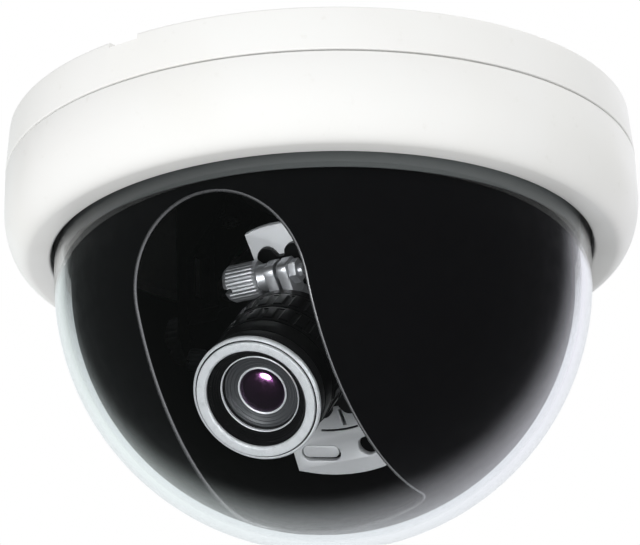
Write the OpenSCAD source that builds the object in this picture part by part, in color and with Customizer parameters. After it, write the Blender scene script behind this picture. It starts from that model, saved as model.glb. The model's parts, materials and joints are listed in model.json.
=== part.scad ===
// Indoor dome camera for a ceiling: a round base and snap-on cover with a clear bubble, a black
// inner liner with a viewing slot, and a varifocal camera on a pan, tilt and roll gimbal.
// The ceiling face is at z = 0 and the dome hangs down, towards -Z.

/* [Housing] */
// Radius of the base where it meets the ceiling
base_r = 60; // [59.5:0.1:60.5]
// Radius of the base at its lower edge
seam_r = 61.05; // [60.8:0.05:61.3]
// Height of the base's outer wall
base_h = 9.2; // [8.8:0.1:9.4]
// Largest radius of the cover
cover_r = 61.4; // [61.3:0.1:61.8]
// Depth of the cover's lowest face below the ceiling
cover_depth = 26.9; // [26.7:0.1:27.2]
// Wall thickness of the cover
cover_wall = 2.4; // [2.2:0.1:2.6]

/* [Dome] */
// Outer radius of the clear bubble
dome_r = 52; // [51.8:0.1:52.1]
// Wall thickness of the bubble
dome_wall = 2; // [1.6:0.1:2.1]
// Depth of the bubble's centre below the ceiling
dome_depth = 32.8; // [32.4:0.1:33.2]
// Outer radius of the black liner
liner_r = 48.7; // [48.5:0.1:49]
// Wall thickness of the liner
liner_wall = 1.1; // [1:0.1:1.2]
// Width of the liner's viewing slot
slot_w = 35.8; // [35:0.2:36.6]
// Height that the slot's round end is raised by
slot_rise = 1.9; // [1.5:0.1:2.3]

/* [Gimbal] */
// Angle that the camera is panned to, to the left of the front
pan_rest = 27; // [0:1:90]
// Angle of the lens below the horizon
lens_down = 43.5; // [30:0.5:60]
// Depth of the tilt axis below the ceiling
tilt_depth = 38.4; // [38:0.1:39]
// Distance from the middle to the inner face of each yoke arm
yoke_x = 26.4; // [26.4:0.1:27]
// Bore of the hollow hub that the cable passes through
cable_r = 9; // [8:0.5:9]

/* [Lens] */
// Distance from the tilt axis to the front of the lens
lens_reach = 40.7; // [40.5:0.1:41]
// Radius of the silver front ring
front_r = 12.6; // [12.5:0.1:12.7]
// Outer radius of the zoom and focus rings
ring_r = 12.5; // [12.3:0.1:12.6]
// Number of grip grooves on each ring
grip_count = 24; // [12:4:32]

/* [Ceiling fixing] */
// Distance between the two fixing slots
fixing_pitch = 83.5; // [82:0.5:84]
// Radius of a fixing slot's ends
fixing_r = 2.25; // [2:0.05:2.5]
// Length of a fixing slot, end to end
fixing_len = 9; // [8:0.5:10]

/* [Hidden] */
$fn = 96;
eps = 0.01;
run = 0.05;             // running clearance of a shaft in its bore

white = "#f3f2ee";
black = "#17181a";
grey = "#c4c5c8";
steel = "#c9ccd0";
board_green = "#1f5a3c";

plate_t = 2.6;          // base plate thickness
skirt_r = 58.4;         // outer radius of the base's skirt, inside the cover
skirt_z = -14;          // lower edge of the skirt
shoulder_z = -9.4;      // face that the turntable runs on
hub_z = -12.2;          // lower end of the hub
hub_r = 12;             // outer radius of the hub's journal
table_r = 30;           // turntable radius
table_t = 2.6;          // turntable thickness
track_r = [20.5, 23.5]; // ring on the base that the pan lock screw presses on
tab_h = 2;              // thickness of a yoke arm's foot and of its blade
arm_w = 13;             // width of a yoke arm
lift = 0.3;             // gap at the seam between base and cover
notch_at = 38;          // cable channel in the ceiling face, degrees left of the front
notch = [7, 1.2];       // its width and depth
corner = [4.8, 9.6];    // the cover's rounded lower edge, across and down
corner_steps = 14;
lip_r = 52.5;           // edge of the cover's opening
seat_z = -24.6;         // inner face of the cover's rim, which the gasket lies on
gasket_t = 0.5;
flange_t = 2;           // the bubble's flange
bubble_flange_r = 54.4;
clamp_t = 2.7;          // clamp ring over the flange
clamp_screw_r = 56.9;   // radius of the clamp screws' circle
clamp_screw_at = [45, 135, 225, 315];
housing_r = 15;         // sensor housing, inside the cradle
neck_r = 8.6;           // neck of the housing, inside the roll clamp
clamp_axis = [13.9, 13.6]; // roll clamp screw, above the lens axis and ahead of the tilt axis
grip_depth = 0.35;

dome_z = -dome_depth;
tilt_z = -tilt_depth;
table_z = shoulder_z - 0.1;
foot_z = table_z - table_t;
corner_z = -cover_depth + corner[1];
flange_top = seat_z + gasket_t + flange_t;

// ---- helpers -------------------------------------------------------------

module ring(r_out, r_in, h) {
  difference() {
    cylinder(r = r_out, h = h);
    translate([0, 0, -1]) cylinder(r = r_in, h = h + 2);
  }
}

// round-ended slot along X
module slot(w, len) {
  square([len - w, w], center = true);
  for (s = [-1, 1]) translate([s * (len - w) / 2, 0]) circle(r = w / 2);
}

// round-cornered rectangle built from squares and circles, so its edges stay exact
module rounded(x, y, r) {
  square([x - 2 * r, y], center = true);
  square([x, y - 2 * r], center = true);
  for (i = [-1, 1], j = [-1, 1]) translate([i * (x / 2 - r), j * (y / 2 - r)]) circle(r = r);
}

// pan frame: the lens looks along -Y before this turn
module panned() {
  rotate([0, 0, -pan_rest]) children();
}

// lens frame: origin on the tilt axis, +Z out through the lens, +Y its upper side
module aimed() {
  panned() translate([0, 0, tilt_z]) rotate([90 + lens_down, 0, 0]) children();
}

// machine screw pointing along +Z: shank below z = 0, domed cross-slotted head above it
module small_screw(shank_r, len, head_r, head_h) {
  translate([0, 0, -len]) cylinder(r = shank_r, h = len + eps);
  difference() {
    cylinder(r = head_r, h = head_h);
    for (a = [0, 90]) rotate([0, 0, a]) translate([-head_r * 0.6, -head_r * 0.13, head_h * 0.55])
      cube([head_r * 1.2, head_r * 0.26, head_h]);
  }
}

// thumbscrew head with coin slot and straight knurl, seated on z = 0 and rising along +Z
module thumb_head(r, h, teeth) {
  difference() {
    union() {
      cylinder(r = r * 0.72, h = h * 0.2 + eps);
      translate([0, 0, h * 0.2]) cylinder(r = r, h = h * 0.8);
    }
    for (i = [0 : teeth - 1]) rotate([0, 0, i * 360 / teeth]) translate([r + 0.1, 0, h * 0.2 - eps])
      cylinder(r = 0.35, h = h, $fn = 6);
    translate([-r, -r * 0.12, h * 0.8]) cube([2 * r, r * 0.24, h]);
  }
}

module grip_ring(z_low, z_high, r_in) {
  difference() {
    translate([0, 0, z_low]) ring(ring_r, r_in, z_high - z_low);
    for (i = [0 : grip_count - 1]) rotate([0, 0, (i + 0.5) * 360 / grip_count])
      translate([ring_r + 0.15, 0, z_low + 0.8]) cylinder(r = grip_depth + 0.15, h = z_high - z_low - 1.6);
  }
}

// ---- base ----------------------------------------------------------------

module base_profile() {
  polygon([
    [cable_r, 0], [base_r - 0.6, 0], [base_r, -0.6], [seam_r, -base_h], [skirt_r, -base_h],
    [skirt_r, skirt_z], [skirt_r - 1.8, skirt_z], [skirt_r - 1.8, -plate_t],
    [track_r[1], -plate_t], [track_r[1], shoulder_z + 0.1], [track_r[0], shoulder_z + 0.1],
    [track_r[0], -plate_t], [hub_r + 4, -plate_t], [hub_r + 4, shoulder_z], [hub_r, shoulder_z],
    [hub_r, hub_z], [cable_r, hub_z],
  ]);
}

board_posts = [[-17, 32], [17, 32], [0, 45]];
retainer_r = (hub_r + cable_r) / 2;

module mounting_base() color(white) {
  difference() {
    union() {
      rotate_extrude() base_profile();
      for (p = board_posts) translate([p[0], p[1], -6.2]) cylinder(r = 2.6, h = 6.2 - plate_t + eps);
      for (a = [30 : 60 : 330]) rotate([0, 0, a]) translate([track_r[1] - eps, -0.8, -6])
        cube([skirt_r - 1.8 - track_r[1] + 2 * eps, 1.6, 6 - plate_t + eps]);
    }
    for (s = [-1, 1]) translate([s * fixing_pitch / 2, 0, -plate_t - 1]) linear_extrude(plate_t + 2)
      slot(2 * fixing_r, fixing_len);
    rotate([0, 0, -90 - notch_at]) translate([cable_r - 1, -notch[0] / 2, -notch[1]])
      cube([base_r + 2 - cable_r, notch[0], notch[1] + 1]);
    for (p = board_posts) translate([p[0], p[1], -6.2 - eps]) cylinder(r = 1, h = 5);
    for (a = [0, 120, 240]) rotate([0, 0, a]) translate([retainer_r, 0, hub_z - eps]) cylinder(r = 0.8, h = 6);
  }
}

module cover_clips() color(steel) {
  for (a = [90, 210, 330]) rotate([0, 0, a - 5]) {
    rotate_extrude(angle = 10) polygon([
      [skirt_r, -9.8], [skirt_r + 0.3, -9.8], [skirt_r + 0.45, -11.4], [skirt_r + 0.3, -13.2],
      [skirt_r + 0.1, -14.3], [skirt_r - 1.2, -14.3], [skirt_r - 1.2, skirt_z], [skirt_r, skirt_z],
    ]);
  }
}

module power_board() color(board_green) {
  difference() {
    translate([0, 38, -7.8]) linear_extrude(1.6) rounded(42, 19, 2);
    for (p = board_posts) translate([p[0], p[1], -9]) cylinder(r = 1.1, h = 4);
  }
}

module board_screws() color(steel) {
  for (p = board_posts) translate([p[0], p[1], -7.8]) rotate([180, 0, 0]) small_screw(1, 4.5, 2, 1.2);
}

module terminal_block() color("#2f6b46") {
  difference() {
    translate([-8, 37.5, -14.3]) linear_extrude(6.5) rounded(11, 8, 0.5);
    for (x = [-10.6, -5.4]) {
      translate([x, 36.5, -14.4]) cylinder(r = 1.5, h = 3);
      translate([x - 1.4, 38.5, -12.5]) cube([2.8, 4, 3]);
    }
  }
}

module terminal_screws() color(steel) {
  for (x = [-10.6, -5.4]) translate([x, 36.5, -12.8]) difference() {
    cylinder(r = 1.45, h = 1.4);
    translate([-2, -0.2, -0.1]) cube([4, 0.4, 0.7]);
  }
}

module harness_socket() color("#e9e6da") {
  translate([8, 35, -12.6]) difference() {
    linear_extrude(4.8) rounded(12, 5, 0.3);
    translate([0, 0, -eps]) linear_extrude(3.6) rounded(10.4, 3.4, 0.2);
    translate([-3, -3, -eps]) cube([6, 1.5, 1.6]);
  }
  for (i = [-2 : 2]) translate([8 + 2 * i, 35, -11.8]) translate([-0.25, -0.25, 0]) cube([0.5, 0.5, 3]);
}

module filter_capacitors() color("#30333a") {
  for (x = [5.5, 12.5]) translate([x, 42.2, -14]) {
    cylinder(r = 2.9, h = 5.6);
    translate([0, 0, 5.6]) cylinder(r = 2.6, h = 0.6);
  }
}

module pan_retaining_plate() color(steel) {
  difference() {
    translate([0, 0, hub_z - 1.2]) ring(15.5, cable_r + 0.4, 1.2);
    for (a = [0, 120, 240]) rotate([0, 0, a]) translate([retainer_r, 0, hub_z - 2]) cylinder(r = 0.9, h = 3);
  }
}

module retaining_screws() color(steel) {
  for (a = [0, 120, 240]) rotate([0, 0, a]) translate([retainer_r, 0, hub_z - 1.2]) rotate([180, 0, 0])
    small_screw(0.78, 6, 1.45, 0.9);
}

// ---- pan stage -----------------------------------------------------------

lock_y = 22;
drive_w = 3;            // arm on the turntable that turns the liner
drive_y = [27.4, 29.6, 45.4, 47.1]; // its post and its downturned tip, from the pan axis
drive_z = [-24, -18, -16.2];        // its tip, and the underside and top of the arm
foot_x = [17.5, yoke_x + 2.2];
yoke_screw_x = 21.5;
yoke_screw_y = 3.2;

module pan_turntable() color(black) panned() {
  difference() {
    union() {
      translate([0, 0, foot_z]) cylinder(r = table_r, h = table_t);
      translate([0, lock_y, foot_z - 1]) cylinder(r = 3.4, h = 1 + eps);
      translate([-drive_w / 2, drive_y[0], drive_z[1]])
        cube([drive_w, drive_y[1] - drive_y[0], foot_z - drive_z[1] + eps]);
      translate([-drive_w / 2, drive_y[0], drive_z[1]])
        cube([drive_w, drive_y[3] - drive_y[0], drive_z[2] - drive_z[1]]);
      translate([-drive_w / 2, drive_y[2], drive_z[0]])
        cube([drive_w, drive_y[3] - drive_y[2], drive_z[2] - drive_z[0]]);
    }
    translate([0, 0, foot_z - 1]) cylinder(r = hub_r + run, h = table_t + 2);
    for (a = [30, 150, 210, 330]) rotate([0, 0, a]) translate([23.5, 0, foot_z - 1]) linear_extrude(table_t + 2)
      rotate([0, 0, 90]) slot(5, 12);
    translate([0, lock_y, foot_z - 2]) cylinder(r = 1.5 + run, h = table_t + 3);
    for (s = [-1, 1], t = [-1, 1]) translate([s * yoke_screw_x, t * yoke_screw_y, foot_z - 1])
      cylinder(r = 0.95, h = table_t + 0.6);
    translate([0, -lock_y, foot_z - 1]) cylinder(r = 3, h = table_t + 2);
  }
}

module pan_lock_screw() color(steel) panned() {
  translate([0, lock_y, foot_z - 1.1]) rotate([180, 0, 0]) thumb_head(4, 4.2, 20);
  translate([0, lock_y, foot_z - 1.1 - eps]) cylinder(r = 1.5, h = table_t + 1.1);
}

module yoke_arm(s) {
  difference() {
    union() {
      translate([s > 0 ? foot_x[0] : -foot_x[1], -arm_w / 2, foot_z - tab_h])
        cube([foot_x[1] - foot_x[0], arm_w, tab_h]);
      translate([s > 0 ? yoke_x : -foot_x[1], -arm_w / 2, tilt_z]) cube([2.2, arm_w, foot_z - tilt_z]);
      translate([s > 0 ? yoke_x : -foot_x[1], 0, tilt_z]) rotate([0, 90, 0]) cylinder(r = arm_w / 2, h = 2.2);
      for (y = [-arm_w / 2, arm_w / 2 - 1.4]) translate([s * foot_x[1], y, foot_z])
        rotate([-90, 0, 0]) linear_extrude(1.4)
          polygon([[0, 0], [-s * (foot_x[1] - foot_x[0]), 0], [-s * (foot_x[1] - foot_x[0]), 2], [-s * 2, 13], [0, 13]]);
    }
    translate([s > 0 ? yoke_x - 1 : -foot_x[1] - 1, 0, tilt_z]) rotate([0, 90, 0]) cylinder(r = 2 + run, h = 5);
    translate([s > 0 ? yoke_x - 1 : -foot_x[1] - 1, -3, -31]) cube([5, 6, 10]);
    for (t = [-1, 1]) translate([s * yoke_screw_x, t * yoke_screw_y, foot_z - 5]) cylinder(r = 1, h = 6);
  }
}

module yoke_arm_left() color(black) panned() yoke_arm(-1);

module yoke_arm_right() color(black) panned() yoke_arm(1);

module yoke_screws() color(steel) panned() {
  for (s = [-1, 1], t = [-1, 1]) translate([s * yoke_screw_x, t * yoke_screw_y, foot_z - tab_h])
    rotate([180, 0, 0]) small_screw(0.9, 4, 1.7, 1);
}

// ---- tilt stage ----------------------------------------------------------

lug_x = 25.5;
cradle_z = [3, 7];
strap_t = 1.6;
flange_z = cradle_z[1] + strap_t;
flange_h = 1.4;
flange_screw_r = 17;
flange_screw_at = [39, 139, 219, 319];
lobe_count = 18;
lobe_at = 19;           // angle of the first lobe

module tilt_cradle() color(black) aimed() {
  difference() {
    union() {
      translate([0, 0, cradle_z[0]]) cylinder(r = 19.2, h = cradle_z[1] - cradle_z[0]);
      for (s = [-1, 1]) {
        translate([s > 0 ? 14 : -lug_x, 0, 0]) rotate([0, 90, 0]) cylinder(r = 5.2, h = lug_x - 14);
        translate([s > 0 ? 14 : -lug_x, -5.2, 0]) cube([lug_x - 14, 10.4, cradle_z[1]]);
      }
    }
    translate([0, 0, -8]) cylinder(r = housing_r + 0.3, h = 20);
    for (s = [-1, 1]) translate([s > 0 ? 18 : -lug_x - 1, 0, 0]) rotate([0, 90, 0])
      cylinder(r = 2 + run, h = lug_x - 17);
    for (a = flange_screw_at) rotate([0, 0, a]) translate([flange_screw_r, 0, cradle_z[0] - 1])
      cylinder(r = 0.95, h = 6);
  }
}

module tilt_washers() color(steel) aimed() {
  for (s = [-1, 1]) translate([s > 0 ? lug_x : -lug_x - 0.7, 0, 0]) rotate([0, 90, 0]) ring(4.2, 2 + run, 0.7);
}

module tilt_screw(s) {
  rotate([0, s * 90, 0]) {
    translate([0, 0, 19]) cylinder(r = 2, h = foot_x[1] + 0.2 - 19 + eps);
    translate([0, 0, foot_x[1] + 0.2]) thumb_head(4.6, 4, 22);
  }
}

module tilt_screw_left() color(steel) aimed() tilt_screw(-1);

module tilt_screw_right() color(steel) aimed() tilt_screw(1);

strap_r = 16.4;         // disc between the strap's tab and its flange
tab_r = 22.2;
skirt_plate_r = 31.2;
tab_x = [-6, 5];
skirt_x = 13.2;
groove_t = 0.5;

// strap plate across the cradle: a narrow upper tab with a tooth and a broad lower flange
module bracket_outline() {
  circle(r = strap_r);
  for (a = flange_screw_at) rotate([0, 0, a]) translate([flange_screw_r, 0]) circle(r = 1.7);
  intersection() {
    circle(r = tab_r);
    translate([tab_x[0], 0]) square([tab_x[1] - tab_x[0], 40]);
  }
  intersection() {
    circle(r = skirt_plate_r);
    translate([-skirt_x, -40]) square([2 * skirt_x, 40]);
  }
}

module cradle_bracket() color(grey) aimed() {
  difference() {
    translate([0, 0, cradle_z[1]]) linear_extrude(strap_t) difference() {
      bracket_outline();
      circle(r = neck_r + 0.6);
      for (s = [-1, 1]) translate([s * 11.2, -21.4]) circle(r = 0.9);
      translate([-7.3, -25.6]) rotate([0, 0, -12]) slot(3.3, 8);
      translate([2.6, -26]) circle(r = 1.95);
      for (a = flange_screw_at) rotate([0, 0, a]) translate([flange_screw_r, 0]) circle(r = 1);
      translate([-0.4, -19.2]) square([0.8, 3.4], center = true);
    }
    translate([0, 0, cradle_z[1] + strap_t - groove_t]) intersection() {
      ring(21.9, 21.4, 1);
      translate([-5.6, -30, 0]) cube([8, 20, 2]);
    }
  }
}

module flange_ring() color(black) aimed() {
  translate([0, 0, flange_z]) linear_extrude(flange_h) difference() {
    union() {
      circle(r = 16.2);
      for (i = [0 : lobe_count - 1]) rotate([0, 0, i * 360 / lobe_count + lobe_at]) translate([16.5, 0]) circle(r = 2);
    }
    circle(r = neck_r + 0.4);
    for (a = flange_screw_at) rotate([0, 0, a]) translate([flange_screw_r, 0]) circle(r = 1);
  }
}

module flange_screws() color("#3a3c40") aimed() {
  for (a = flange_screw_at) rotate([0, 0, a]) translate([flange_screw_r, 0, flange_z + flange_h])
    small_screw(0.9, 6, 1.7, 0.9);
}

ear_z = [11, 16.4];
split = [0.7, 1.4];
ear_t = 2.1;
knob_len = 8.7;

module roll_clamp() color(steel) aimed() {
  clamp_low = flange_z + flange_h;
  difference() {
    union() {
      translate([0, 0, clamp_low]) cylinder(r = neck_r + 1.6, h = ear_z[1] - clamp_low);
      translate([split[0] - ear_t, 0, ear_z[0]]) cube([split[1] - split[0] + 2 * ear_t, clamp_axis[0] + 2.6, ear_z[1] - ear_z[0]]);
    }
    translate([0, 0, clamp_low - 1]) cylinder(r = neck_r + run, h = 12);
    translate([split[0], 0, clamp_low - 1]) cube([split[1] - split[0], 30, 12]);
    translate([-5, clamp_axis[0], clamp_axis[1]]) rotate([0, 90, 0]) cylinder(r = 1.2 + run, h = 15);
  }
}

module clamp_nut() color(steel) aimed() {
  translate([split[1] + ear_t, clamp_axis[0], clamp_axis[1]]) rotate([0, 90, 0]) difference() {
    cylinder(r = 2.5, h = 1.5, $fn = 6);
    translate([0, 0, -1]) cylinder(r = 1.2 + run, h = 4);
  }
}

module roll_screw() color(steel) aimed() {
  translate([split[0] - ear_t - 0.1, clamp_axis[0], clamp_axis[1]]) {
    rotate([0, -90, 0]) thumb_head(3.6, knob_len, 26);
    rotate([0, 90, 0]) translate([0, 0, -eps]) cylinder(r = 1.2, h = 7.4);
  }
}

// ---- camera module, turns about the lens axis -----------------------------

cup_z = [-11, 6.8];
neck_z = 17.4;
post_at = 7.3;
sensor_z = 0.6;
board_t = 1.2;
proc_z = -5.4;

module sensor_housing() color(black) aimed() {
  difference() {
    union() {
      translate([0, 0, cup_z[0]]) cylinder(r = housing_r, h = cup_z[1] - cup_z[0]);
      cylinder(r = neck_r, h = neck_z);
    }
    difference() {
      translate([0, 0, cup_z[0] - 1]) cylinder(r = housing_r - 1.5, h = cup_z[1] - cup_z[0] - 0.8);
      for (i = [-1, 1], j = [-1, 1]) translate([i * post_at, j * post_at, sensor_z + board_t])
        cylinder(r = 1.8, h = 10);
    }
    cylinder(r = 7.2, h = neck_z + 1);
    for (i = [-1, 1], j = [-1, 1]) translate([i * post_at, j * post_at, sensor_z]) cylinder(r = 0.7, h = 4);
    translate([-4, -housing_r - 1, -8.5]) cube([8, 4, 3]);
  }
}

module rear_cap() color(black) aimed() {
  translate([0, 0, cup_z[0]]) difference() {
    union() {
      cylinder(r = housing_r - 1.55, h = 1.4);
      for (s = [-1, 1]) translate([s * 10.4, 0, 0]) cylinder(r = 2.4, h = 2.4);
    }
    translate([-4.5, -4, -1]) cube([9, 3.4, 4]);
    for (s = [-1, 1]) translate([s * 10.4, 0, -1]) cylinder(r = 0.85, h = 4.5);
    for (i = [0 : 3]) translate([-5, 3 + 2 * i, -1]) cube([10, 0.9, 4]);
  }
}

module rear_cap_screws() color(steel) aimed() {
  for (s = [-1, 1]) translate([s * 10.4, 0, cup_z[0]]) rotate([180, 0, 0]) small_screw(0.8, 3, 1.5, 0.8);
}

module square_board(z) {
  translate([0, 0, z]) linear_extrude(board_t) difference() {
    rounded(18.4, 18.4, 1.6);
    for (i = [-1, 1], j = [-1, 1]) translate([i * post_at, j * post_at]) circle(r = 0.8);
  }
}

module processor_board() color(board_green) aimed() {
  square_board(proc_z);
  translate([-3, -2.5, proc_z + board_t]) cube([7, 7, 0.9]);
}

module module_socket() color("#e9e6da") aimed() {
  translate([0, -4.2, proc_z - 2.6]) difference() {
    linear_extrude(2.6) rounded(8, 3, 0.2);
    translate([0, 0, -eps]) linear_extrude(1.9) rounded(7, 2, 0.1);
  }
}

module board_spacers() color("#b08d3c") aimed() {
  for (i = [-1, 1], j = [-1, 1]) translate([i * post_at, j * post_at, proc_z + board_t])
    ring(1.6, 0.75, sensor_z - proc_z - board_t);
}

module sensor_board() color(board_green) aimed() square_board(sensor_z);

module sensor_board_screws() color(steel) aimed() {
  for (i = [-1, 1], j = [-1, 1]) translate([i * post_at, j * post_at, proc_z]) rotate([180, 0, 0])
    small_screw(0.68, 9.5, 1.4, 0.8);
}

module image_sensor() color("#3b3f46") aimed() {
  translate([0, 0, sensor_z + board_t]) {
    linear_extrude(1) rounded(10, 9, 0.3);
    translate([0, 0, 1 - eps]) linear_extrude(0.3) rounded(6.4, 5.2, 0.1);
  }
}

module optical_filter() color("#79a9a2") aimed() {
  translate([0, 0, sensor_z + board_t + 1.4]) linear_extrude(0.6) rounded(8, 7, 0.2);
}

// ---- varifocal lens --------------------------------------------------------

barrel_r = 10.8;
zoom_z = [19.3, 24.9];
focus_z = [25.3, 31.1];
head_z = 31.4;
rim_z = lens_reach - 5.1;
lever_at = [205, 160];
lever_r = [12, 13.6, 17.4];

module lens_tube() color(black) aimed() {
  rotate_extrude() polygon([
    [6.2, 9], [7.15, 9], [7.15, neck_z], [12.2, neck_z], [12.2, 19], [barrel_r, 19],
    [barrel_r, 31.2], [7.6, 31.2], [7.6, 20], [6.2, 19],
  ]);
}

module rear_lens() color("#8fb3c4") aimed() {
  rotate_extrude() polygon(concat(
    [[0, 11.2]],
    [for (i = [0 : 8]) [6.15 * sin(90 * i / 8), 12.4 - 1.2 * cos(90 * i / 8)]],
    [[6.15, 14]],
    [for (i = [0 : 8]) [6.15 * cos(90 * i / 8), 14 + 0.9 * sin(90 * i / 8)]]
  ));
}

module lever_boss(angle, z_mid) {
  rotate([0, 0, angle]) translate([lever_r[0] - 0.6, 0, z_mid]) rotate([0, 90, 0])
    cylinder(r = 2.2, h = lever_r[1] - lever_r[0] + 0.6);
}

module lever_hole(angle, z_mid) {
  rotate([0, 0, angle]) translate([barrel_r - 1, 0, z_mid]) rotate([0, 90, 0]) cylinder(r = 1 + run, h = 6);
}

module lever_screw(angle, z_mid) {
  rotate([0, 0, angle]) translate([lever_r[1] + 0.1, 0, z_mid]) rotate([0, 90, 0]) {
    translate([0, 0, barrel_r + 0.3 - lever_r[1] - 0.1]) cylinder(r = 1, h = lever_r[1] - barrel_r - 0.2 + eps);
    thumb_head(2.3, lever_r[2] - lever_r[1], 12);
  }
}

module zoom_ring() color(black) aimed() {
  difference() {
    union() {
      grip_ring(zoom_z[0], zoom_z[1], barrel_r + run);
      lever_boss(lever_at[0], (zoom_z[0] + zoom_z[1]) / 2);
    }
    lever_hole(lever_at[0], (zoom_z[0] + zoom_z[1]) / 2);
  }
}

module zoom_lock_screw() color("#3a3c40") aimed() lever_screw(lever_at[0], (zoom_z[0] + zoom_z[1]) / 2);

module focus_ring() color(black) aimed() {
  difference() {
    union() {
      grip_ring(focus_z[0], focus_z[1], barrel_r + run);
      lever_boss(lever_at[1], (focus_z[0] + focus_z[1]) / 2);
    }
    lever_hole(lever_at[1], (focus_z[0] + focus_z[1]) / 2);
  }
}

module focus_lock_screw() color("#3a3c40") aimed() lever_screw(lever_at[1], (focus_z[0] + focus_z[1]) / 2);

module lens_head() color(black) aimed() {
  rotate_extrude() polygon([
    [6.6, 28], [7.55, 28], [7.55, head_z], [12.2, head_z], [12.2, rim_z], [9.85, rim_z],
    [9.85, lens_reach - 0.7], [9.5, lens_reach - 0.7], [7.35, lens_reach - 2.8],
    [7.35, rim_z - 0.6], [6.6, rim_z - 1],
  ]);
}

module front_cell() color("#6d7074") aimed() {
  rotate_extrude() polygon([
    [4.45, rim_z - 0.6], [7.3, rim_z - 0.6], [7.3, lens_reach - 3.4], [6.9, lens_reach - 3.4],
    [6.4, lens_reach - 3.7], [4.9, lens_reach - 4.3], [4.45, lens_reach - 4.1],
  ]);
}

module lens_retainer() color(steel) aimed() {
  rotate_extrude() polygon([
    [6.95, lens_reach - 3.4], [7.3, lens_reach - 3.4], [7.3, lens_reach - 2.85],
    [7.1, lens_reach - 2.7], [6.95, lens_reach - 2.8],
  ]);
}

module front_glass() color("#5a4a66") aimed() {
  rotate_extrude() polygon(concat(
    [[0, rim_z - 0.9], [4.4, rim_z - 0.6]],
    [for (i = [0 : 10]) [4.4 * cos(9 * i), lens_reach - 4.2 + 0.9 * sin(9 * i)]]
  ));
}

module front_ring() color(steel) aimed() {
  rotate_extrude() polygon([
    [9.9, rim_z], [12.2, rim_z], [12.2, rim_z + 1.6], [front_r, rim_z + 2], [front_r, lens_reach - 0.8],
    [front_r - 0.3, lens_reach - 0.45], [front_r - 0.6, lens_reach - 0.45], [front_r - 0.6, lens_reach - 0.9],
    [front_r - 0.85, lens_reach - 0.9], [front_r - 0.85, lens_reach - 0.1], [front_r - 1, lens_reach],
    [10.2, lens_reach], [9.9, lens_reach - 0.3],
  ]);
}

// ---- cover and dome --------------------------------------------------------

function outer_corner() = [for (i = [0 : corner_steps]) let (t = 90 * i / corner_steps)
  [cover_r - corner[0] * (1 - cos(t)), corner_z - corner[1] * sin(t)]];

function inner_corner() = [for (i = [corner_steps : -1 : 0]) let (t = 90 * i / corner_steps)
  [cover_r - cover_wall - (corner[0] - 0.8) * (1 - cos(t)), corner_z - (corner_z - seat_z) * sin(t)]];

module cover_shell() color(white) {
  difference() {
    union() {
      rotate_extrude() polygon(concat(
        [[cover_r - cover_wall, -base_h - lift], [seam_r - 0.3, -base_h - lift], [seam_r, -base_h - lift - 0.3]],
        outer_corner(),
        [[lip_r + 0.7, -cover_depth], [lip_r + 0.15, -cover_depth + 0.2], [lip_r, -cover_depth + 0.7], [lip_r, seat_z]],
        inner_corner()
      ));
      for (a = clamp_screw_at) rotate([0, 0, a]) translate([clamp_screw_r, 0, seat_z - eps])
        intersection() {
          cylinder(r = 2.2, h = flange_top - seat_z - 0.1);
          translate([-1.8, -3, 0]) cube([4.1, 6, 10]);
        }
    }
    for (a = clamp_screw_at) rotate([0, 0, a]) translate([clamp_screw_r, 0, seat_z - 0.8]) cylinder(r = 0.9, h = 8);
  }
}

module dome_gasket() color("#222426") {
  translate([0, 0, seat_z]) ring(bubble_flange_r, lip_r + 0.2, gasket_t);
}

module dome_bubble() color("#b8c4cc") {
  flange_low = seat_z + gasket_t;
  rotate_extrude() difference() {
    union() {
      translate([0, dome_z]) circle(r = dome_r);
      translate([0, dome_z]) square([dome_r, flange_top - dome_z]);
      translate([0, flange_low]) square([bubble_flange_r, flange_t]);
    }
    translate([0, dome_z]) circle(r = dome_r - dome_wall);
    translate([0, dome_z]) square([dome_r - dome_wall, 30]);
    translate([-2 * dome_r, dome_z - 2 * dome_r]) square([2 * dome_r, 4 * dome_r]);
    translate([0, flange_top]) square([2 * dome_r, 60]);
  }
}

module dome_clamp_ring() color(white) {
  difference() {
    translate([0, 0, flange_top]) difference() {
      cylinder(r = 58, h = clamp_t);
      translate([0, 0, -1]) cylinder(r = 49.6, h = clamp_t + 2);
      translate([0, 0, -1]) cylinder(r = 51.6, h = clamp_t);
    }
    for (a = clamp_screw_at) rotate([0, 0, a]) translate([clamp_screw_r, 0, flange_top - 1])
      cylinder(r = 1.1, h = clamp_t + 2);
  }
}

module dome_clamp_screws() color(steel) {
  for (a = clamp_screw_at) rotate([0, 0, a]) translate([clamp_screw_r, 0, flange_top + clamp_t])
    small_screw(0.88, 5, 1.9, 1);
}

liner_top = flange_top + 1.3;
liner_flange_r = 51.2;
slot_past = 7;          // how far the slot runs past the pole
slot_corner = 4;        // radius of its corners there
slot_end_z = dome_z - slot_w / 2 + slot_rise;
key_gap = 0.3;          // gap between the turntable's arm and the ribs beside it

// the slot seen from below: straight sides, from past the pole out to the front
module slot_outline() {
  translate([-slot_w / 2, -80]) square([slot_w, 80 + slot_past - slot_corner]);
  translate([-slot_w / 2 + slot_corner, -80]) square([slot_w - 2 * slot_corner, 80 + slot_past]);
  for (s = [-1, 1]) translate([s * (slot_w / 2 - slot_corner), slot_past - slot_corner]) circle(r = slot_corner);
}

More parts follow.
